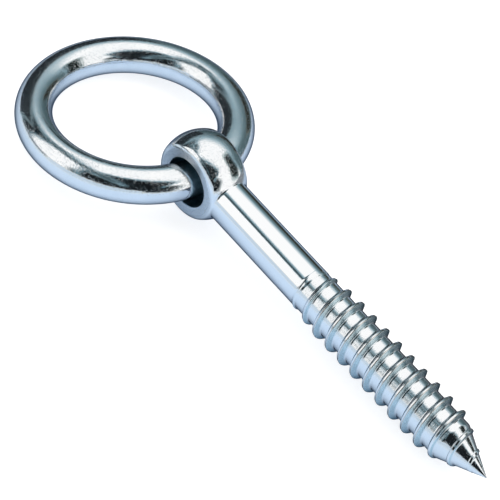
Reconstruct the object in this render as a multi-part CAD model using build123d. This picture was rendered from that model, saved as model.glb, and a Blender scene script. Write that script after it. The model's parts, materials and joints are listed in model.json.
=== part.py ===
from build123d import *

import os
from math import asin, atan2, ceil, cos, degrees, floor, hypot, radians, sin, sqrt

# A ring screw eye: a forged eye on a wood-screw shank, with a closed ring of
# round wire hanging loose through the eye. It lies as it comes to rest: the
# eye, the thread near the point and the far side of the ring touch z = 0.
# Millimetres. The screw points along +X and the eye's hole runs along Y.

# Ring
wire_diameter = 8.0
ring_inner_diameter = 35.0

# Eye: a ball with two flats and a hole from flat to flat
eye_diameter = 19.0
eye_width = 10.0
ring_play = 3.0  # how much wider the hole is than the wire
hole_edge_chamfer = 0.4
flat_edge_radius = 0.9

# Shank and point, measured along the screw from the middle of the eye
shank_diameter = 9.5
neck_radius = 0.8  # hollow rounding where the shank grows out of the ball
neck_bite = 0.03  # the rounding ends this far under the ball's skin
point_reach = 87.0
point_length = 10.1

# Thread: one right-hand ridge, wound on a slightly thinner root
thread_length = 53.4  # from the ridge's first trace to the point
thread_pitch = 3.77
crest_diameter = 11.8
root_diameter = 9.3
crest_width = 0.5
ridge_width = 2.1  # where it stands on the root
ridge_sink = 0.3  # its foot is set this deep into the root
start_angle = 102.0  # of its first trace, from the hole's axis towards the top
end_step = 0.15  # it starts and ends this much proud
run_out_length = 8.1  # over which it rises to its full height
crest_taper_length = 12.8  # of its fall towards the point
crest_bulge = 0.45  # of that fall over a straight line
bare_point = 3.0  # the last of the point, which has no ridge

# Rest and swing
seat_gap = 0.2  # between the wire and the hole where the ring bears
seat_angle = 70.0  # the wire bears this far back from straight down
stop_gap = 0.3  # between the ring and the thread at both ends of the swing

wire_radius = wire_diameter / 2
ring_radius = (ring_inner_diameter + wire_diameter) / 2
eye_radius = eye_diameter / 2
hole_radius = (wire_diameter + ring_play) / 2
shank_radius = shank_diameter / 2
root_radius = root_diameter / 2
crest_radius = crest_diameter / 2

thread_start = point_reach - thread_length
root_start = thread_start + thread_pitch / 3
full_start = thread_start + run_out_length
taper_start = point_reach - crest_taper_length
cone_start = point_reach - point_length
ridge_end = point_reach - bare_point

# Local Z of this plane is the screw's axis and local X is the hole's axis.
along_screw = Plane(origin=(0, 0, 0), x_dir=(0, 1, 0), z_dir=(1, 0, 0))


def make_eye():
    """Ball, flats, hole and all their worked edges, turned about the hole's axis."""
    disc = Circle(eye_radius) & Rectangle(eye_diameter, eye_width)
    half = disc & Pos(eye_radius, 0) * Rectangle(eye_diameter, eye_width)
    section = half - Rectangle(2 * hole_radius, eye_width)
    inner = section.vertices().sort_by(Axis.X)[:2]
    section = chamfer(inner, hole_edge_chamfer)
    outer = section.vertices().group_by(Axis.X)[-1]
    section = fillet(outer, flat_edge_radius)
    return revolve(section, Axis.Y)


def make_rod():
    """Neck, shank, root and point, turned on local Z from the middle of the eye."""
    rounding_r = shank_radius + neck_radius
    rounding_to_centre = eye_radius + neck_radius - neck_bite
    rounding_z = sqrt(rounding_to_centre**2 - rounding_r**2)
    towards_centre = atan2(rounding_z, rounding_r)
    under_skin = 1 - neck_radius / rounding_to_centre
    neck = CenterArc((rounding_r, rounding_z), neck_radius, 180, degrees(towards_centre))
    outline = Polyline(
        (shank_radius, rounding_z),
        (shank_radius, root_start),
        (root_radius, root_start + shank_radius - root_radius),
        (root_radius, cone_start),
        (0, point_reach),
        (0, 0),
        (under_skin * rounding_r, under_skin * rounding_z),
    )
    return revolve(Plane.XZ * make_face(neck + outline), Axis.Z)


def core_radius(z):
    """Radius of the rod at z along the screw, past the neck."""
    if z < root_start:
        return shank_radius
    return root_radius * min(1, (point_reach - z) / point_length)


def crest_height(z):
    """Radius of the ridge's crest at z along the screw."""
    if z < full_start:
        first = core_radius(thread_start) + end_step
        return first + (crest_radius - first) * (z - thread_start) / run_out_length
    if z <= taper_start:
        return crest_radius
    last = core_radius(ridge_end) + end_step
    fall = (z - taper_start) / (ridge_end - taper_start)
    return crest_radius + fall * (last - crest_radius) + 4 * crest_bulge * fall * (1 - fall)


def ridge_corners(z):
    """The ridge's section at z, foot to foot over the crest: (radius, place along the screw)."""
    foot = (ridge_width + ridge_sink) / 2
    land = crest_width / 2
    return [
        (core_radius(z - foot) - ridge_sink, z - foot),
        (crest_height(z), z - land),
        (crest_height(z), z + land),
        (core_radius(z + foot) - ridge_sink, z + foot),
    ]


def ridge_angle(z):
    """How far round the screw the ridge has come at z, in degrees."""
    return start_angle + 360 * (z - thread_start) / thread_pitch


def ridge_stations():
    """Places along the screw where the ridge changes shape, and between them at most a turn apart."""
    marks = [thread_start, full_start, taper_start, cone_start, ridge_end]
    stations = [thread_start]
    for start, end in zip(marks, marks[1:]):
        count = ceil((end - start) / thread_pitch)
        stations += [start + (end - start) * step / count for step in range(1, count + 1)]
    return stations


def helix(start, end, turned):
    """Helix about local Z from one (radius, z) to another."""
    rise = end[1] - start[1]
    cone = atan2(end[0] - start[0], rise)
    curve = Edge.make_helix(thread_pitch / cos(cone), rise, start[0], angle=degrees(cone))
    return Pos(0, 0, start[1]) * Rot(0, 0, turned) * curve


def make_ridge():
    """The thread's ridge as one closed solid, in ruled faces between the helices of its corners."""
    stations = ridge_stations()
    faces = []
    for z0, z1 in zip(stations, stations[1:]):
        corners = zip(ridge_corners(z0), ridge_corners(z1))
        edges = [helix(start, end, ridge_angle(z0)) for start, end in corners]
        for first, second in zip(edges, edges[1:] + edges[:1]):
            faces.append(Face.make_surface_from_curves(first, second))
    for z in (stations[0], stations[-1]):
        corners = [(radius, 0, along) for radius, along in ridge_corners(z)]
        faces.append(Rot(0, 0, ridge_angle(z)) * make_face(Polyline(*corners, close=True)).face())
    return Solid(Shell(faces))


def make_eye_screw():
    """Eye, shank and thread as the one forged and rolled piece, with the eye at the origin."""
    screw = along_screw.location * (make_rod() + make_ridge())
    bite = Rot(90, 0, 0) * Cylinder((hole_radius + hole_edge_chamfer + eye_radius) / 2, eye_diameter)
    return make_eye() + (screw - bite)


def make_ring():
    """The closed ring, flat on XY with its centre at the origin."""
    return Torus(ring_radius, wire_radius)


def screw_slope():
    """Fall of the screw, in degrees, with the eye and the last full turn of thread on the ground."""
    below = thread_start + thread_pitch * ((270 - start_angle) % 360) / 360
    last_turn = below + thread_pitch * floor((taper_start - below) / thread_pitch) + crest_width / 2
    return degrees(asin(eye_radius / hypot(last_turn, crest_radius)) - atan2(crest_radius, last_turn))


def near_wire():
    """Middle of the wire where it passes the middle of the eye, as (x, z) from the hole's axis.

    The wire is bent, so it bears on the hole at both mouths, where it lies back
    by its bow and shows a slightly longer section.
    """
    half_length = eye_width / 2
    bow = ring_radius - sqrt(ring_radius**2 - half_length**2)
    section = wire_radius / cos(asin(half_length / ring_radius))
    reach = hole_radius - section - seat_gap
    return bow - reach * sin(radians(seat_angle)), -reach * cos(radians(seat_angle))


def ring_tilt():
    """Fall of the ring away from the eye, in degrees, with its far side on the ground."""
    drop = eye_radius + near_wire()[1] - wire_radius
    return degrees(asin(drop / (2 * ring_radius)))


def place():
    """Both pieces where they rest, with the middle of their length over the origin."""
    slope, tilt = screw_slope(), ring_tilt()
    wire_x, wire_z = near_wire()
    back_end = wire_x - 2 * ring_radius * cos(radians(tilt)) - wire_radius
    front_end = point_reach * cos(radians(slope))
    eye = Pos(-(back_end + front_end) / 2, 0, eye_radius)
    outwards = Rot(0, -tilt, 0) * Pos(-ring_radius, 0, 0)
    pieces = {
        "eye_screw": eye * Rot(0, slope, 0) * make_eye_screw(),
        "ring": eye * Pos(wire_x, 0, wire_z) * outwards * make_ring(),
    }
    return eye, pieces


def swing_limits():
    """How far the ring swings about the hole's axis from rest, down and up, in degrees."""
    clear = wire_radius + crest_radius + stop_gap
    wire_x, wire_z = near_wire()
    tilt = radians(ring_tilt())
    far_x = wire_x - 2 * ring_radius * cos(tilt)
    far_z = wire_z - 2 * ring_radius * sin(tilt)
    beside_screw = degrees(asin(clear / hypot(far_x, far_z)))
    above_line = degrees(atan2(far_z, -far_x)) - screw_slope()
    return beside_screw - 180 - above_line, 180 - beside_screw - above_line


if __name__ == "__main__":
    os.makedirs("parts", exist_ok=True)
    eye, pieces = place()
    for name, piece in pieces.items():
        export_step(piece, f"parts/{name}.step")
    print("hole's axis passes", [round(value, 4) for value in eye.position])
    print("ring swings", [round(value, 2) for value in swing_limits()])
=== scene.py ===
import json
import math

import bmesh
import bpy
from mathutils import Matrix, Vector


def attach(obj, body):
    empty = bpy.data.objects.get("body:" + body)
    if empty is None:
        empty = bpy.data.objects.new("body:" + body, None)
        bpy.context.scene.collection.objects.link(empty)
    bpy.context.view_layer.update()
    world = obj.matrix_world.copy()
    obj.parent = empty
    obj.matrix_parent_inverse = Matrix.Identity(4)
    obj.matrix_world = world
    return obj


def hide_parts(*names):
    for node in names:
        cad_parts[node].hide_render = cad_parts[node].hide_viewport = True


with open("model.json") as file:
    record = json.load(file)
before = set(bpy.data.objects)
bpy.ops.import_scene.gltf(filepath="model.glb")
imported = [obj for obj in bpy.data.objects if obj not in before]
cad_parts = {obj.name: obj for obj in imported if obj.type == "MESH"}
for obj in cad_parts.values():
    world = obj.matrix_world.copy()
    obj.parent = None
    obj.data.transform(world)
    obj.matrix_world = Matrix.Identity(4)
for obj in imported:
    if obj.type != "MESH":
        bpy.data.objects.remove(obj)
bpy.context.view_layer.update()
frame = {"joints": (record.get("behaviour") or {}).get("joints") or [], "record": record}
mm = 0.001
scene = bpy.context.scene
print("frame loaded")

# Where the CAD parts lie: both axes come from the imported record.
mounts = {mount["name"]: mount for mount in frame["record"]["mounts"]}
ringAxis = Vector(mounts["ring_opening"]["axis"])
ringCentre = Vector(mounts["ring_opening"]["pos_m"]) / mm
screwAxis = Vector(mounts["wood_thread"]["axis"])
eyeCentre = Vector(frame["joints"][0]["pos_m"]) / mm
openingRadius = mounts["ring_opening"]["dims"]["r_mm"]
wireRadius = 4.0
shankRadius = 4.75


# Number fields: arithmetic on node sockets, so that a shape's formula reads as a formula.
class Field:
    def __init__(self, tree, socket):
        self.tree = tree
        self.socket = socket

    def calc(self, operation, *others):
        node = self.tree.nodes.new("ShaderNodeMath")
        node.operation = operation
        for slot, value in enumerate((self, *others)):
            if isinstance(value, Field):
                self.tree.links.new(value.socket, node.inputs[slot])
            else:
                node.inputs[slot].default_value = value
        return Field(self.tree, node.outputs[0])

    def flipped(self, operation, other):  # other comes first
        first = self.tree.nodes.new("ShaderNodeValue")
        first.outputs[0].default_value = other
        return Field(self.tree, first.outputs[0]).calc(operation, self)

    def __add__(self, other):
        return self.calc("ADD", other)

    def __radd__(self, other):
        return self.calc("ADD", other)

    def __sub__(self, other):
        return self.calc("SUBTRACT", other)

    def __rsub__(self, other):
        return self.flipped("SUBTRACT", other)

    def __mul__(self, other):
        return self.calc("MULTIPLY", other)

    def __rmul__(self, other):
        return self.calc("MULTIPLY", other)

    def __truediv__(self, other):
        return self.calc("DIVIDE", other)

    def __neg__(self):
        return self.calc("MULTIPLY", -1.0)

    def atMost(self, other):
        return self.calc("MINIMUM", other)

    def atLeast(self, other):
        return self.calc("MAXIMUM", other)

    def clamped(self):
        return self.atLeast(0.0).atMost(1.0)

    def step(self, low, high):  # 0 below low, 1 above high, smooth between
        node = self.tree.nodes.new("ShaderNodeMapRange")
        node.interpolation_type = "SMOOTHSTEP"
        self.tree.links.new(self.socket, node.inputs["Value"])
        for name, value in (("From Min", low), ("From Max", high)):
            if isinstance(value, Field):
                self.tree.links.new(value.socket, node.inputs[name])
            else:
                node.inputs[name].default_value = value
        return Field(self.tree, node.outputs["Result"])


def hypot(first, second):
    return (first * first + second * second).calc("SQRT")


def roundUnion(first, second, rounding):  # two distances, joined with a hollow rounding
    near = hypot((rounding - first).atLeast(0.0), (rounding - second).atLeast(0.0))
    return first.atMost(second).atLeast(rounding) - near


def roundCommon(first, second, rounding):  # what two distances share, with its edge rounded
    near = hypot((first + rounding).atLeast(0.0), (second + rounding).atLeast(0.0))
    return first.atLeast(second).atMost(-rounding) + near


def addNode(tree, kind, inputs=None, **settings):
    node = tree.nodes.new(kind)
    for name, value in settings.items():
        setattr(node, name, value)
    for name, value in (inputs or {}).items():
        if isinstance(value, Field):
            value = value.socket
        if isinstance(value, bpy.types.NodeSocket):
            tree.links.new(value, node.inputs[name])
        else:
            node.inputs[name].default_value = value
    return node


def separate(tree, vector):
    parts = addNode(tree, "ShaderNodeSeparateXYZ", {"Vector": vector})
    return [Field(tree, output) for output in parts.outputs]


def combine(tree, x, y, z):
    return addNode(tree, "ShaderNodeCombineXYZ", {"X": x, "Y": y, "Z": z}).outputs[0]


def positionOf(tree):
    return tree.nodes.new("GeometryNodeInputPosition").outputs[0]


def normalOf(tree):
    return tree.nodes.new("GeometryNodeInputNormal").outputs[0]


def newShapeTree(name, sizes):  # a Geometry Nodes tree with one named input for each size
    tree = bpy.data.node_groups.new(name, "GeometryNodeTree")
    tree.interface.new_socket("Geometry", in_out="OUTPUT", socket_type="NodeSocketGeometry")
    for size, value in sizes.items():
        kind = "NodeSocketInt" if isinstance(value, int) else "NodeSocketFloat"
        tree.interface.new_socket(size, in_out="INPUT", socket_type=kind)
    tree.interface.new_socket("Material", in_out="INPUT", socket_type="NodeSocketMaterial")
    given = tree.nodes.new("NodeGroupInput")
    fields = {size: Field(tree, given.outputs[size]) for size in sizes}
    return tree, fields, given


def endShapeTree(tree, given, geometry):  # every tree ends in real, smooth geometry with its material
    smooth = addNode(tree, "GeometryNodeSetShadeSmooth", {"Geometry": geometry})
    real = addNode(tree, "GeometryNodeRealizeInstances", {"Geometry": smooth.outputs[0]})
    finish = {"Geometry": real.outputs[0], "Material": given.outputs["Material"]}
    finished = addNode(tree, "GeometryNodeSetMaterial", finish)
    tree.links.new(finished.outputs[0], tree.nodes.new("NodeGroupOutput").inputs[0])


def storeField(tree, geometry, name, field):  # a value at each vertex, for the material to read
    store = {"Geometry": geometry, "Name": name, "Value": field}
    stored = addNode(tree, "GeometryNodeStoreNamedAttribute", store, data_type="FLOAT", domain="POINT")
    return stored.outputs[0]


def meshFromTree(tree, sizes, material, name):
    holder = bpy.data.objects.new(name, bpy.data.meshes.new(name))
    scene.collection.objects.link(holder)
    modifier = holder.modifiers.new(name, "NODES")
    modifier.node_group = tree
    values = {**sizes, "Material": material}
    for socket in tree.interface.items_tree:
        if socket.in_out == "INPUT":
            modifier[socket.identifier] = values[socket.name]
    evaluated = holder.evaluated_get(bpy.context.evaluated_depsgraph_get())
    mesh = bpy.data.meshes.new_from_object(evaluated)
    holder.modifiers.clear()
    bpy.data.objects.remove(holder)
    mesh.name = name
    mesh.materials.clear()  # the holder's empty slot goes, and the tree's material stays
    mesh.materials.append(material)
    return mesh


def addPiece(name, mesh, place):  # the place goes into the mesh, and the object stays at the origin
    mesh.transform(Matrix.Scale(mm, 4) @ place)
    mesh.update()
    piece = bpy.data.objects.new(name, mesh)
    scene.collection.objects.link(piece)
    return piece


# Bright zinc: what the surfaces share
def newShaderGroup(name, inputs, outputs):  # it takes a place and named values, and puts out values
    group = bpy.data.node_groups.new(name, "ShaderNodeTree")
    group.interface.new_socket("Vector", in_out="INPUT", socket_type="NodeSocketVector")
    for title, value in inputs.items():
        socket = group.interface.new_socket(title, in_out="INPUT", socket_type="NodeSocketFloat")
        socket.default_value = value
    for title in outputs:
        group.interface.new_socket(title, in_out="OUTPUT", socket_type="NodeSocketFloat")
    return group, group.nodes.new("NodeGroupInput"), group.nodes.new("NodeGroupOutput")


grain = {
    "speckFrom": 0.72,  # the noise where a speck starts and is full, if their share were nothing
    "speckFull": 0.84,
    "shareDrop": 0.3,  # how far a full share lowers both
    "speckHeight": 0.5,
    "fineSize": 1.4,  # in grains, as the ripples' size is
    "fineHeight": 0.8,
    "rippleSize": 9.0,
    "rippleHeight": 0.3,
    "blotchFrom": 0.35,
    "blotchFull": 0.7,
}


def buildPlatingGrain(form):
    inputs = {"Grain Size": 0.25, "Blotch Size": 3.0, "Speck Share": 0.5}
    group, given, result = newShaderGroup("platingGrain", inputs, ("Height", "Speck", "Blotch"))
    grainSize, blotchSize, share = (Field(group, given.outputs[title]) for title in inputs)

    def noise(size, detail):
        scale = size.flipped("DIVIDE", 1 / mm)
        settings = {"Vector": given.outputs["Vector"], "Scale": scale, "Detail": detail}
        return Field(group, addNode(group, "ShaderNodeTexNoise", settings).outputs[0])

    drop = share * form["shareDrop"]
    speck = noise(grainSize, 1.0).step(form["speckFrom"] - drop, form["speckFull"] - drop)
    fine = noise(grainSize * form["fineSize"], 2.0) * form["fineHeight"]
    ripples = noise(grainSize * form["rippleSize"], 1.0) * form["rippleHeight"]
    blotch = noise(blotchSize, 4.0).step(form["blotchFrom"], form["blotchFull"])
    group.links.new((fine + ripples + speck * form["speckHeight"]).socket, result.inputs["Height"])
    group.links.new(speck.socket, result.inputs["Speck"])
    group.links.new(blotch.socket, result.inputs["Blotch"])
    return group


zinc = {
    "light": (0.965, 0.975, 0.98, 1),
    "shade": (0.89, 0.92, 0.935, 1),
    "blotchShade": 0.6,  # how far a blotch and a speck turn the light colour to the shade
    "speckShade": 0.3,
    "pressed": (0.42, 0.475, 0.52, 1),  # the matte flats
    "betweenSpecks": 0.55,  # how much of the pressed colour shows between the specks
    # painted shade: the bore's darker teal colour, where the hole lies in shade
    "hole": (0.32, 0.47, 0.53, 1),
    "flank": (0.68, 0.82, 0.86, 1),  # the thread's point side, tinted darker and teal: painted shade in the grooves
    "paintedCrestLine": (0.50, 0.41, 0.34, 1),  # painted dark reflection: a brown-dark line along the thread's crest
    "edge": (0.05, 0.07, 0.10, 1),  # where it's seen at a low angle: near black, a painted dark reflection along the silhouettes
    "roughness": 0.045,
    "blotchRoughness": 0.025,  # this and the five below add to it
    "speckRoughness": 0.14,
    "matteRoughness": 0.34,
    "flankRoughness": 0.08,
    "rolledRoughness": 0.09,
    "holeRoughness": 0.25,
    "polishing": 0.9,  # how much of the grain is lost where the polish is full
    "grainSize": 0.26,
    "grainDepth": 0.02,
    "blotchSize": 3.0,
    "speckShare": 0.5,
}


def mixColours(tree, amount, first, second):
    mix = addNode(tree, "ShaderNodeMix", {"Factor": amount}, data_type="RGBA")
    for title, colour in (("A", first), ("B", second)):
        if isinstance(colour, bpy.types.NodeSocket):
            tree.links.new(colour, mix.inputs[title])
        else:
            mix.inputs[title].default_value = colour
    return mix.outputs["Result"]


def makeZinc(name, platingGrain, look):
    material = bpy.data.materials.new(name)
    material.use_nodes = True
    tree = material.node_tree
    shader = tree.nodes["Principled BSDF"]
    shader.inputs["Metallic"].default_value = 1.0
    # painted dark reflection: the near-black edge tint darkens the metal at its silhouettes
    shader.inputs["Specular Tint"].default_value = look["edge"]

    def stored(title):  # 0 on a piece that hasn't it
        return Field(tree, addNode(tree, "ShaderNodeAttribute", attribute_name=title).outputs["Fac"])

    sizes = {"Grain Size": "grainSize", "Blotch Size": "blotchSize", "Speck Share": "speckShare"}
    given = {title: look[value] for title, value in sizes.items()}
    given["Vector"] = addNode(tree, "ShaderNodeTexCoord").outputs["Object"]
    plating = addNode(tree, "ShaderNodeGroup", given, node_tree=platingGrain)
    height, speck, blotch = (Field(tree, output) for output in plating.outputs)
    grainy = 1.0 - stored("polish") * look["polishing"]
    matte = stored("matte")
    shaded = (blotch * look["blotchShade"] + speck * look["speckShade"]) * grainy
    pressed = matte * (look["betweenSpecks"] + speck * (1 - look["betweenSpecks"]))
    colour = mixColours(tree, shaded, look["light"], look["shade"])
    colour = mixColours(tree, pressed, colour, look["pressed"])
    # painted shade: the point-side flanks turn darker and teal, as the grooves shade them
    colour = mixColours(tree, stored("flank"), colour, look["flank"])
    # painted shade in the bore: a darker teal colour
    colour = mixColours(tree, stored("hole") * (1.0 - matte), colour, look["hole"])
    # painted dark reflection: a brown-dark line along the crest
    colour = mixColours(tree, stored("crest"), colour, look["paintedCrestLine"])
    tree.links.new(colour, shader.inputs["Base Color"])
    speckled = blotch * look["blotchRoughness"] + speck * look["speckRoughness"]
    roughness = speckled * grainy + look["roughness"]
    for title in ("matte", "flank", "rolled", "hole"):
        roughness = roughness + stored(title) * look[f"{title}Roughness"]
    tree.links.new(roughness.socket, shader.inputs["Roughness"])
    bump = addNode(tree, "ShaderNodeBump", {"Height": height * grainy})
    bump.inputs["Distance"].default_value = look["grainDepth"] * mm
    tree.links.new(bump.outputs[0], shader.inputs["Normal"])
    return material


platingGrain = buildPlatingGrain(grain)
ringZinc = makeZinc("ringZinc", platingGrain, zinc)
screwZinc = makeZinc("screwZinc", platingGrain, zinc)
print("materials made")

# The ring: round wire, swept round its circle
ringSizes = {
    "Ring Radius": openingRadius + wireRadius,
    "Wire Radius": wireRadius,
    "Round": 320,
    "Across": 88,
}


def circleCurve(tree, radius, points):
    circle = addNode(tree, "GeometryNodeCurvePrimitiveCircle", {"Radius": radius, "Resolution": points})
    return circle.outputs["Curve"]


def buildRingTree(sizes):
    tree, size, given = newShapeTree("wireRing", sizes)
    centreLine = circleCurve(tree, size["Ring Radius"], size["Round"])
    section = circleCurve(tree, size["Wire Radius"], size["Across"])
    sweep = {"Curve": centreLine, "Profile Curve": section}
    swept = addNode(tree, "GeometryNodeCurveToMesh", sweep)
    endShapeTree(tree, given, swept.outputs[0])
    return tree


ringMesh = meshFromTree(buildRingTree(ringSizes), ringSizes, ringZinc, "ring_zinc")
ringPlace = Matrix.Translation(ringCentre) @ ringAxis.to_track_quat("Z", "Y").to_matrix().to_4x4()
ring = addPiece("ring_zinc", ringMesh, ringPlace)
print("ring swept:", len(ringMesh.polygons), "faces")

# The eye and neck: a distance formula, meshed on a fine lattice and drawn onto the exact surface
eyeSizes = {
    "Ball Radius": 9.5,
    "Half Width": 5.0,
    "Hole Radius": 5.5,
    "Hole Rounding": 0.4,
    "Rim Rounding": 0.9,
    "Rim Rounding at Neck": 0.2,
    "Shank Radius": shankRadius,
    "Neck Rounding": 0.12,
    "Cut": 12.0,  # the neck ends here, and the shank's tube starts a little further on
    "Lattice": 0.2,
    "Matte From": 0.2,  # under the flats' surface, where their matte finish starts and is full
    "Matte Full": 0.02,
    "Hole Fade": 0.12,  # past the hole's edge
    "Lightening From": -2.0,  # along the screw: painted light, towards the neck the flats lose part of their pressed colour and roughness
    "Lightening": 0.45,
    "Polish Full": 10.0,  # along the screw
}


def eyeDistance(tree, size):
    along, across, up = separate(tree, positionOf(tree))
    fromAxis = hypot(across, up)
    ball = hypot(along, fromAxis) - size["Ball Radius"]
    shank = (fromAxis - size["Shank Radius"]).atLeast(size["Half Width"] - along)
    forged = roundUnion(ball, shank, size["Neck Rounding"])
    flats = across.calc("ABSOLUTE") - size["Half Width"]
    toNeck = along.step(size["Hole Radius"], size["Ball Radius"])
    rim = size["Rim Rounding"] + toNeck * (size["Rim Rounding at Neck"] - size["Rim Rounding"])
    pressed = roundCommon(forged, flats, rim)
    hole = size["Hole Radius"] - hypot(along, up)
    return roundCommon(pressed, hole, size["Hole Rounding"])


def latticeEye(tree, size, sizes):
    margin = 3 * sizes["Lattice"]  # round the shape, with twice as much past the cut
    reach = sizes["Ball Radius"] + margin
    side = sizes["Half Width"] + margin
    low = (-reach, -side, -reach)
    high = (sizes["Cut"] + 2 * margin, side, reach)
    onSurface, fall = 0.5, 0.2  # the density there, and how fast it falls outwards
    density = (onSurface - eyeDistance(tree, size) / size["Lattice"] * fall).clamped()
    steps = {
        f"Resolution {axis}": round((last - first) / sizes["Lattice"])
        for axis, first, last in zip("XYZ", low, high)
    }
    volume = addNode(tree, "GeometryNodeVolumeCube", {"Density": density, "Min": low, "Max": high, **steps})
    meshing = {"Volume": volume.outputs[0], "Threshold": onSurface}
    return addNode(tree, "GeometryNodeVolumeToMesh", meshing).outputs[0]


def drawOntoEye(tree, size, shape):  # each vertex goes along its normal by its distance from the surface
    move = {0: normalOf(tree), "Scale": -eyeDistance(tree, size)}
    offset = addNode(tree, "ShaderNodeVectorMath", move, operation="SCALE").outputs[0]
    return addNode(tree, "GeometryNodeSetPosition", {"Geometry": shape, "Offset": offset}).outputs[0]


def storeEyeFinishAndPaintedLight(tree, size, shape):
    along, across, up = separate(tree, positionOf(tree))
    matteFrom, matteFull = size["Half Width"] - size["Matte From"], size["Half Width"] - size["Matte Full"]
    onFlat = across.calc("ABSOLUTE").step(matteFrom, matteFull)
    inHole = 1.0 - (hypot(along, up) - size["Hole Radius"]).step(0.0, size["Hole Fade"])
    # painted light: towards the neck the flats lose part of the pressed colour, so they look lighter there
    lighterTowardsNeck = 1.0 - along.step(size["Lightening From"], size["Ball Radius"]) * size["Lightening"]
    shape = storeField(tree, shape, "matte", onFlat * (1.0 - inHole) * lighterTowardsNeck)
    # the bore, which the material darkens as painted shade
    shape = storeField(tree, shape, "hole", inHole)
    return storeField(tree, shape, "polish", along.step(size["Shank Radius"], size["Polish Full"]))


def buildEyeTree(sizes):
    tree, size, given = newShapeTree("forgedEye", sizes)
    shape = latticeEye(tree, size, sizes)
    passes = 4  # each brings the vertices nearer to the surface
    for _ in range(passes):
        shape = drawOntoEye(tree, size, shape)
    past = separate(tree, positionOf(tree))[0].calc("GREATER_THAN", size["Cut"])
    shape = addNode(tree, "GeometryNodeDeleteGeometry", {"Geometry": shape, "Selection": past}).outputs[0]
    endShapeTree(tree, given, storeEyeFinishAndPaintedLight(tree, size, shape))
    return tree


eyeMesh = meshFromTree(buildEyeTree(eyeSizes), eyeSizes, screwZinc, "eye")
print("eye meshed:", len(eyeMesh.polygons), "faces")

# The screw: shank, thread and point on one skewed grid, whose rows follow the helix.
# Starts and ends are measured along the screw from the middle of the eye.
screwSizes = {
    "Shank Radius": shankRadius,
    "Root Radius": 4.65,
    "Crest Radius": 5.9,
    "Root Start": 34.8,
    "Cone Start": 76.9,
    "Point": 87.0,
    "Pitch": 3.77,
    "Thread Start": 33.6,
    "Full Start": 41.7,
    "Taper Start": 74.2,
    "Thread End": 84.4,
    "Taper Bulge": 0.45,
    "Start Angle": 102.0,  # of the ridge's first trace, from the hole's axis towards the top
    "Start Step": 0.05,  # the ridge starts this much proud
    "Last Crest Radius": 1.2,
    "Steepest": 1.2,  # the ridge stays inside a cone of this slope at the point
    "Root Blend": 0.05,
    "Cone Blend": 0.1,
    "Head Flank Slope": 1.9,
    "Point Flank Slope": 1.75,
    "Crest Slope": 0.25,  # its land rises towards the point
    "Crest to Head": 0.34,
    "Crest to Point": 0.18,
    "Crest Rounding": 0.03,
    "Root Rounding": 0.12,
    "Root Rounding at Head": 0.16,
    "Sunk": 3.0,  # past its ends the ridge lies this deep, out of sight
    "Shank From": 12.6,
    "Grid From": 32.0,
    "Columns": 112,
    "Rows per Turn": 30,
    "Bunching": 0.5,  # of the rows near the crest
    "Shank Rows": 8,
    "Crest Line From": 0.75,  # over the core, where the crest's painted dark line starts and is full
    "Crest Line Full": 0.95,
    "Crest Line Under": 0.045,  # and under the crest itself
    "Crest Line Full Under": 0.012,
    "Flank From": 0.05,  # over the core
    "Flank Full": 0.25,
    "Facing From": 0.3,  # how far a flank faces along the screw
    "Facing Full": 0.7,
    "High From": 0.6,  # over the core
    "High Full": 0.9,
    "Head Flank Rolled": 1.6,  # how much more rolled a flank on the head's side is
    "High Rolled": 0.5,
    "Rolled Fade": 1.0,  # along the screw, each way from the thread's start
    "Polish Fade": 1.5,
    "Polish Loss": 0.4,
}


def coreRadius(size, along):
    root = size["Shank Radius"] - (along - size["Root Start"]).atLeast(0.0)
    root = root.calc("SMOOTH_MAX", size["Root Radius"], size["Root Blend"])
    coneSlope = size["Root Radius"] / (size["Point"] - size["Cone Start"])
    cone = (size["Point"] - along) * coneSlope
    return root.calc("SMOOTH_MIN", cone, size["Cone Blend"]).atLeast(0.0)


def crestRadius(size, along):
    start = size["Shank Radius"] + size["Start Step"]
    rise = ((along - size["Thread Start"]) / (size["Full Start"] - size["Thread Start"])).clamped()
    rising = start + rise * (size["Crest Radius"] - start)
    fall = ((along - size["Taper Start"]) / (size["Thread End"] - size["Taper Start"])).clamped()
    bulge = 4 * size["Taper Bulge"] * fall * (1.0 - fall)
    return rising - fall * (size["Crest Radius"] - size["Last Crest Radius"]) + bulge


def ridgeRadius(size, along, fromCrest):  # the land and both flanks of the thread
    crest = crestRadius(size, along)
    land = crest - (size["Crest to Point"] - fromCrest) * size["Crest Slope"]
    landEnd = crest - (size["Crest to Point"] + size["Crest to Head"]) * size["Crest Slope"]
    toHead = landEnd - (-fromCrest - size["Crest to Head"]) * size["Head Flank Slope"]
    toPoint = crest - (fromCrest - size["Crest to Point"]) * size["Point Flank Slope"]
    ridge = toHead.calc("SMOOTH_MIN", land, size["Crest Rounding"])
    ridge = ridge.calc("SMOOTH_MIN", toPoint, size["Crest Rounding"])
    before = size["Thread Start"].calc("GREATER_THAN", along)
    past = along.calc("GREATER_THAN", size["Thread End"])
    return ridge - (before + past) * size["Sunk"]


def screwRadius(size, along, fromCrest):
    core = coreRadius(size, along)
    onHeadSide = fromCrest.calc("LESS_THAN", 0.0)
    rounding = size["Root Rounding"] + onHeadSide * (size["Root Rounding at Head"] - size["Root Rounding"])
    radius = core.calc("SMOOTH_MAX", ridgeRadius(size, along, fromCrest), rounding)
    return radius.atMost(((size["Point"] - along) * size["Steepest"]).atLeast(core))


def roundGrid(tree, rows, columns, along, radius, angle):  # a flat grid, bent round the screw's axis
    grid = addNode(tree, "GeometryNodeMeshGrid", {"Vertices X": rows, "Vertices Y": columns + 1.0})
    place = combine(tree, along, radius * angle.calc("COSINE"), radius * angle.calc("SINE"))
    bent = {"Geometry": grid.outputs["Mesh"], "Position": place}
    return addNode(tree, "GeometryNodeSetPosition", bent).outputs[0]


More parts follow.
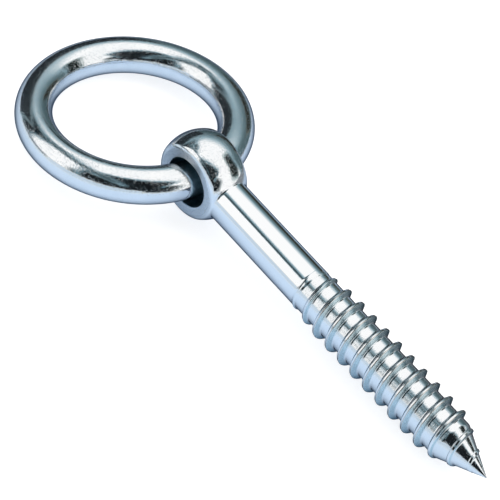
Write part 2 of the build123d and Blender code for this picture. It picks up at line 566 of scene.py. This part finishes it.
def storeScrewFinishAndPaintedShade(tree, size, shape):
    along, across, up = separate(tree, positionOf(tree))
    overCore = hypot(across, up) - coreRadius(size, along)
    overCrest = hypot(across, up) - crestRadius(size, along)
    # the crest, where the material paints a dark reflection line
    onCrest = overCore.step(size["Crest Line From"], size["Crest Line Full"])
    onCrest = onCrest * overCrest.step(-size["Crest Line Under"], -size["Crest Line Full Under"])
    onFlank = overCore.step(size["Flank From"], size["Flank Full"]) * (1.0 - onCrest)
    towardsHead = separate(tree, normalOf(tree))[0]  # the bare grid's faces still look inwards
    pointSide = onFlank * (-towardsHead).step(size["Facing From"], size["Facing Full"])
    headSide = onFlank * towardsHead.step(size["Facing From"], size["Facing Full"])
    high = overCore.step(size["High From"], size["High Full"])
    start, fade = size["Thread Start"], size["Rolled Fade"]
    onThread = along.step(start - fade, start + fade)
    rolled = onThread * (1.0 + headSide * size["Head Flank Rolled"] + high * size["High Rolled"])
    pastShank = along.step(size["Root Start"] - size["Polish Fade"], size["Root Start"])
    shape = storeField(tree, shape, "crest", onCrest)
    # the point-side flanks, which the material tints as painted groove shade
    shape = storeField(tree, shape, "flank", pointSide)
    shape = storeField(tree, shape, "rolled", rolled)
    return storeField(tree, shape, "polish", 1.0 - pastShank * size["Polish Loss"])


def buildScrewTree(sizes):
    tree, size, given = newShapeTree("woodScrew", sizes)
    columns = size["Columns"]
    index = Field(tree, tree.nodes.new("GeometryNodeInputIndex").outputs[0])
    row = ((index + 0.5) / (columns + 1.0)).calc("FLOOR")  # half a vertex on, clear of rounding errors
    column = index - row * (columns + 1.0)
    angle = column * (2 * math.pi) / columns
    turn = row / size["Rows per Turn"]
    phase = turn - turn.calc("FLOOR")  # 0.5 on the crest, where the rows stand closer together
    bunched = phase + (phase * (2 * math.pi)).calc("SINE") * (size["Bunching"] / (2 * math.pi))
    fromCrest = (bunched - 0.5) * size["Pitch"]
    firstCrest = size["Thread Start"] - size["Pitch"] * (size["Start Angle"] / 360.0)
    # whole turns of the grid, with one to spare before the thread's start and one past the point
    turnsBefore = ((size["Thread Start"] - size["Grid From"]) / size["Pitch"]).calc("CEIL") + 1.0
    crestAlong = firstCrest + (turn.calc("FLOOR") - turnsBefore + column / columns) * size["Pitch"]
    along = (crestAlong + fromCrest).atLeast(size["Grid From"]).atMost(size["Point"])
    turns = ((size["Point"] - size["Grid From"]) / size["Pitch"]).calc("CEIL") + 2.0
    rows = turns * size["Rows per Turn"] + 1.0
    thread = roundGrid(tree, rows, columns, along, screwRadius(size, along, fromCrest), angle)
    # the plain shank: a tube whose last ring meets the grid's first
    shankLength = size["Grid From"] - size["Shank From"]
    tubeAlong = size["Shank From"] + row / size["Shank Rows"] * shankLength
    tube = roundGrid(tree, size["Shank Rows"] + 1.0, columns, tubeAlong, size["Shank Radius"], angle)
    joined = addNode(tree, "GeometryNodeJoinGeometry")
    tree.links.new(thread, joined.inputs[0])
    tree.links.new(tube, joined.inputs[0])
    weldDistance = 0.0001
    welding = {"Geometry": joined.outputs[0], "Distance": weldDistance}
    welded = addNode(tree, "GeometryNodeMergeByDistance", welding)
    endShapeTree(tree, given, storeScrewFinishAndPaintedShade(tree, size, welded.outputs[0]))
    return tree


screwMesh = meshFromTree(buildScrewTree(screwSizes), screwSizes, screwZinc, "screw")
print("screw meshed:", len(screwMesh.polygons), "faces")


def turnAt(loop, step):  # angle round the shank of a loop's vertex, growing past a full turn
    laps, place = divmod(step, len(loop))
    return math.atan2(loop[place].co.z, loop[place].co.y) + 2 * math.pi * laps


def bridgeLoops(work, first, second):  # one triangle at a time, always towards the nearer next vertex
    i = j = 0
    while i < len(first) or j < len(second):
        corners = [first[i % len(first)], second[j % len(second)]]
        if j == len(second) or (i < len(first) and turnAt(first, i + 1) < turnAt(second, j + 1)):
            i += 1
            corners.append(first[i % len(first)])
        else:
            j += 1
            corners.append(second[j % len(second)])
        work.faces.new(corners).smooth = True


def weldEyeToScrew(eye, screw, name):
    work = bmesh.new()
    work.from_mesh(eye)
    work.from_mesh(screw)
    rim = {vert for edge in work.edges if edge.is_boundary for vert in edge.verts}
    rim = sorted(rim, key=lambda vert: math.atan2(vert.co.z, vert.co.y))
    between = (eyeSizes["Cut"] + screwSizes["Shank From"]) / 2
    bridgeLoops(work, [v for v in rim if v.co.x < between], [v for v in rim if v.co.x > between])
    bmesh.ops.recalc_face_normals(work, faces=work.faces)
    odd = sum(not edge.is_manifold for edge in work.edges)
    print("eye welded to screw:", odd, "odd edges,", round(work.calc_volume()), "cubic mm")
    mesh = bpy.data.meshes.new(name)
    work.to_mesh(mesh)
    work.free()
    mesh.materials.append(eye.materials[0])
    return mesh


def squareNormals(mesh, low, high):  # the plain shank's normals, straight out from its axis
    normals = []
    for vert in mesh.vertices:
        onShank = low < vert.co.x < high
        normals.append(Vector((0, vert.co.y, vert.co.z)).normalized() if onShank else Vector())
    mesh.normals_split_custom_set_from_vertices(normals)


neckEnd = 11.3  # the neck's rounding has run out into the shank before this
bodyMesh = weldEyeToScrew(eyeMesh, screwMesh, "eye_screw_zinc")
squareNormals(bodyMesh, neckEnd, screwSizes["Grid From"])
screwTurn = Matrix((screwAxis, Vector((0, 1, 0)), screwAxis.cross(Vector((0, 1, 0))))).transposed()
screwPlace = Matrix.Translation(eyeCentre) @ screwTurn.to_4x4()
eyeScrew = addPiece("eye_screw_zinc", bodyMesh, screwPlace)
print("eye and screw welded:", len(bodyMesh.polygons), "faces")

for piece, node in ((ring, "ring"), (eyeScrew, "eye_screw")):
    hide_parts(node)
    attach(piece, node)

# Camera
view = {
    "azimuth": 36.094, "elevation": 46.687, "roll": 17.458, "distance": 435.05,
    "target": (-4.12, 1.989, 0), "sensor": 36, "lensOverSensor": 4.2, "nearest": 10,
}


def towards(azimuth, elevation):
    az, el = math.radians(azimuth), math.radians(elevation)
    return Vector((math.sin(az) * math.cos(el), -math.cos(az) * math.cos(el), math.sin(el)))


def facing(out, roll):  # local Z along out, turned about it
    return out.to_track_quat("Z", "Y").to_matrix() @ Matrix.Rotation(math.radians(roll), 3, "Z")


def addCamera():
    data = bpy.data.cameras.new("camera")
    data.sensor_width = view["sensor"]
    data.lens = data.sensor_width * view["lensOverSensor"]
    data.clip_start = view["nearest"] * mm
    camera = bpy.data.objects.new("camera", data)
    scene.collection.objects.link(camera)
    back = towards(view["azimuth"], view["elevation"])
    place = (Vector(view["target"]) + back * view["distance"]) * mm
    camera.matrix_world = Matrix.Translation(place) @ facing(back, view["roll"]).to_4x4()
    scene.camera = camera


addCamera()

# Studio
studioMiddle = Vector((0, 0, 9.5)) * mm


def faceMiddle(thing, azimuth, elevation, distance, turn=0):
    out = towards(azimuth, elevation)
    thing.matrix_world = Matrix.Translation(studioMiddle + out * distance) @ facing(out, turn).to_4x4()
    scene.collection.objects.link(thing)


def spanAt(degrees, distance):
    return 2 * distance * math.tan(math.radians(degrees) / 2)


def newSheet(name, wide, high):  # one rectangle about the origin, given by half its sides
    mesh = bpy.data.meshes.new(name)
    corners = [(-wide, -high, 0), (wide, -high, 0), (wide, high, 0), (-wide, high, 0)]
    mesh.from_pydata(corners, [], [(0, 1, 2, 3)])
    return mesh


lampDistance = 0.7
lamps = {
    "overheadBox": {"azimuth": -165, "elevation": 66, "wide": 95, "high": 52, "level": 1.25},
    "leftBox": {"azimuth": -50, "elevation": 37, "wide": 42, "high": 58, "level": 1.25},
    "rightBox": {"azimuth": 117, "elevation": 30, "wide": 36, "high": 62, "level": 1.2},
}


def addLamp(name, size):  # for the floor and its shadow: the metal mirrors the white studio and the cards
    data = bpy.data.lights.new(name, "AREA")
    data.shape = "RECTANGLE"
    data.size = spanAt(size["wide"], lampDistance)
    data.size_y = spanAt(size["high"], lampDistance)
    data.energy = size["level"] * math.pi * data.size * data.size_y
    lamp = bpy.data.objects.new(name, data)
    lamp.visible_camera = False
    lamp.visible_glossy = False
    faceMiddle(lamp, size["azimuth"], size["elevation"], lampDistance)


# Cards that only the metal mirrors. Soft: how far the left, right, bottom and top edges fade inwards,
# each as a share of half the card.
cards = {
    "rearCard": {
        "azimuth": -137, "elevation": -2, "wide": 150, "high": 118, "turn": -15, "away": 0.126,
        "soft": (0.64, 0.8, 0.66, 1.0), "colour": (0.085, 0.135, 0.15, 1), "fade": (0.30, 0.45, 0.52, 1),
    },
    "rearLowCard": {
        "azimuth": -152, "elevation": 10, "wide": 48, "high": 18, "turn": 0, "away": 0.125,
        "soft": (0.41, 0.37, 0.43, 0.47), "colour": (0.03, 0.03, 0.025, 1), "fade": (0.20, 0.22, 0.19, 1),
    },
    "lowCard": {
        "azimuth": 41, "elevation": 25.5, "wide": 113, "high": 58, "turn": -4, "away": 0.83,
        "soft": (0.4, 0.5, 0.5, 0.62), "colour": (0.006, 0.009, 0.011, 1), "fade": (0.36, 0.42, 0.44, 1),
    },
    "leftCard": {
        "azimuth": -93, "elevation": 19.5, "wide": 72, "high": 71, "turn": 31, "away": 0.9,
        "soft": (0.15, 0.5, 0.23, 0.76), "colour": (0.006, 0.009, 0.012, 1), "fade": (0.22, 0.36, 0.43, 1),
    },
    "sideLowCard": {
        "azimuth": -100, "elevation": 9, "wide": 62, "high": 34, "turn": 0, "away": 0.124,
        "soft": (0.5, 0.3, 0.3, 0.5), "colour": (0.022, 0.028, 0.033, 1), "fade": (0.24, 0.34, 0.38, 1),
    },
    "backCard": {
        "azimuth": 144, "elevation": 28.5, "wide": 37, "high": 76, "turn": -33.7, "away": 0.85,
        "soft": (0.75, 0.28, 0.78, 0.55), "colour": (0.008, 0.011, 0.010, 1), "fade": (0.32, 0.44, 0.45, 1),
    },
    "topCard": {
        "azimuth": -15.5, "elevation": 55.7, "wide": 112, "high": 17.5, "turn": -13.3, "away": 0.226,
        "soft": (0.23, 0.9, 0.72, 0.9), "colour": (0.05, 0.08, 0.09, 1), "fade": (0.26, 0.42, 0.50, 1),
    },
    "frontCard": {
        "azimuth": 32.8, "elevation": 48.7, "wide": 86.5, "high": 84.3, "turn": -10.5, "away": 0.756,
        "soft": (0.51, 0.37, 0.3, 0.68), "colour": (0.008, 0.010, 0.012, 1), "fade": (0.24, 0.40, 0.48, 1),
    },
    "stripCard": {
        "azimuth": -57.4, "elevation": 62.5, "wide": 80, "high": 20.5, "turn": 9, "away": 0.576,
        "soft": (0.46, 0.48, 0.3, 1.6), "colour": (0.03, 0.05, 0.06, 1), "fade": (0.34, 0.49, 0.56, 1),
    },
    "leftLowCard": {
        "azimuth": -45.7, "elevation": 1.7, "wide": 49.5, "high": 14.8, "turn": 0, "away": 0.77,
        "soft": (0.37, 0.45, 0.57, 0.33), "colour": (0.20, 0.24, 0.27, 1), "fade": (0.45, 0.52, 0.57, 1),
    },
    "bounceCard": {
        "azimuth": 10, "elevation": 5, "wide": 102, "high": 28.5, "turn": 1.6, "away": 0.274,
        "soft": (0.4, 0.28, 0.05, 0.68), "colour": (0.55, 0.66, 0.77, 1), "fade": (0.72, 0.75, 0.72, 1),
    },
}


# How far up a soft edge the cloth starts and is full, and where its fade turns to its own colour
cardEdge = {"clothFrom": 0.15, "clothFull": 0.75, "coreFrom": 0.5, "coreFull": 0.97}


def buildSoftEdges(edge):
    inputs = {"Half Width": 1.0, "Half Height": 1.0, "Left": 0.3, "Right": 0.3, "Bottom": 0.3, "Top": 0.3}
    group, given, result = newShaderGroup("softEdges", inputs, ("Mask", "Core"))
    x, y = separate(group, given.outputs["Vector"])[:2]
    size = {title: Field(group, given.outputs[title]) for title in inputs}
    u, v = x / size["Half Width"], y / size["Half Height"]
    sides = (u + 1.0).step(0.0, size["Left"]) * (1.0 - u).step(0.0, size["Right"])
    ends = (v + 1.0).step(0.0, size["Bottom"]) * (1.0 - v).step(0.0, size["Top"])
    cloth = (sides * ends).step(edge["clothFrom"], edge["clothFull"])
    core = (sides * ends).step(edge["coreFrom"], edge["coreFull"])
    group.links.new(cloth.socket, result.inputs["Mask"])
    group.links.new(core.socket, result.inputs["Core"])
    return group


def makeCardCloth(name, softEdges, card, wide, high):  # it glows, and fades out at its edges
    material = bpy.data.materials.new(name)
    material.use_nodes = True
    tree = material.node_tree
    given = {"Half Width": wide, "Half Height": high}
    given.update(zip(("Left", "Right", "Bottom", "Top"), card["soft"]))
    given["Vector"] = addNode(tree, "ShaderNodeTexCoord").outputs["Object"]
    mask = addNode(tree, "ShaderNodeGroup", given, node_tree=softEdges)
    cloth = tree.nodes["Principled BSDF"]
    cloth.inputs["Base Color"].default_value = (0, 0, 0, 1)
    cloth.inputs["Specular IOR Level"].default_value = 0.0
    cloth.inputs["Emission Strength"].default_value = 1.0
    colour = mixColours(tree, mask.outputs["Core"], card["fade"], card["colour"])
    tree.links.new(colour, cloth.inputs["Emission Color"])
    tree.links.new(mask.outputs["Mask"], cloth.inputs["Alpha"])
    return material


def addCard(name, softEdges, size):
    distance = size["away"]
    wide, high = spanAt(size["wide"], distance) / 2, spanAt(size["high"], distance) / 2
    mesh = newSheet(name, wide, high)
    mesh.materials.append(makeCardCloth(name, softEdges, size, wide, high))
    card = bpy.data.objects.new(name, mesh)
    card.visible_camera = False
    card.visible_diffuse = False
    card.visible_shadow = False
    faceMiddle(card, size["azimuth"], size["elevation"], distance, size["turn"])


softEdges = buildSoftEdges(cardEdge)
for name, size in lamps.items():
    addLamp(name, size)
for name, size in cards.items():
    addCard(name, softEdges, size)

# The floor: white paper to the camera, and a tinted one where the metal mirrors it
paper = {
    "half": 1.5,  # of its side
    "shown": (0.5, 0.5, 0.5, 1),
    "shownGlow": 0.72,
    "near": (0.54, 0.68, 0.86, 1),  # the tint under the piece, darker and bluer as painted shade of the piece, and the tint further out
    "far": (0.61, 0.70, 0.77, 1),
    "nearTo": 0.02,
    "farFrom": 0.2,
    "behind": (0.20, 0.22, 0.24, 1),  # painted shade on the mirrored floor, behind the screw
    "behindFrom": (-0.005, 0.006),
    "behindFull": (0.015, 0.016),
    "darker": 0.4,  # how much of the tint its plain part loses to black
    "glow": 0.4,
}


def litPaper(tree, colour, glowColour, glow):  # a plain surface that also glows
    plain = addNode(tree, "ShaderNodeBsdfDiffuse", {"Color": colour})
    fill = addNode(tree, "ShaderNodeEmission", {"Color": glowColour, "Strength": glow})
    both = tree.nodes.new("ShaderNodeAddShader")
    tree.links.new(plain.outputs[0], both.inputs[0])
    tree.links.new(fill.outputs[0], both.inputs[1])
    return both.outputs[0]


def makePaper(look):
    material = bpy.data.materials.new("floor")
    material.use_nodes = True
    tree = material.node_tree
    tree.nodes.clear()
    x, y = separate(tree, addNode(tree, "ShaderNodeTexCoord").outputs["Object"])[:2]
    (fromX, fromY), (fullX, fullY) = look["behindFrom"], look["behindFull"]
    # painted shade on the mirrored floor: darker and bluer under the piece
    tint = mixColours(tree, hypot(x, y).step(look["nearTo"], look["farFrom"]), look["near"], look["far"])
    # painted shade: a dark patch behind the screw, for its flanks to mirror
    tint = mixColours(tree, x.step(fromX, fullX) * y.step(fromY, fullY), tint, look["behind"])
    dark = mixColours(tree, look["darker"], tint, (0, 0, 0, 1))
    mirrored = litPaper(tree, dark, tint, look["glow"])
    shown = litPaper(tree, look["shown"], (1, 1, 1, 1), look["shownGlow"])
    path = tree.nodes.new("ShaderNodeLightPath")
    mixed = addNode(tree, "ShaderNodeMixShader", {"Fac": path.outputs["Is Camera Ray"]})
    tree.links.new(mirrored, mixed.inputs[1])
    tree.links.new(shown, mixed.inputs[2])
    tree.links.new(mixed.outputs[0], tree.nodes.new("ShaderNodeOutputMaterial").inputs[0])
    return material


def addFloor():
    mesh = newSheet("floor", paper["half"], paper["half"])
    mesh.materials.append(makePaper(paper))
    floor = bpy.data.objects.new("floor", mesh)
    scene.collection.objects.link(floor)


worldFill = 0.5  # its strength as plain light, against 1 where it's seen, mirrored or looked through


def addWorld():
    world = bpy.data.worlds.new("studio")
    scene.world = world
    world.use_nodes = True
    tree = world.node_tree
    shown = tree.nodes["Background"]
    shown.inputs["Color"].default_value = (1, 1, 1, 1)
    path = tree.nodes.new("ShaderNodeLightPath")
    seen = Field(tree, path.outputs["Is Camera Ray"])
    for ray in ("Is Glossy Ray", "Is Transmission Ray"):
        seen = seen.atLeast(Field(tree, path.outputs[ray]))
    tree.links.new((seen * (1 - worldFill) + worldFill).socket, shown.inputs["Strength"])


addFloor()
addWorld()
scene.view_settings.view_transform = "Standard"
print("studio set")
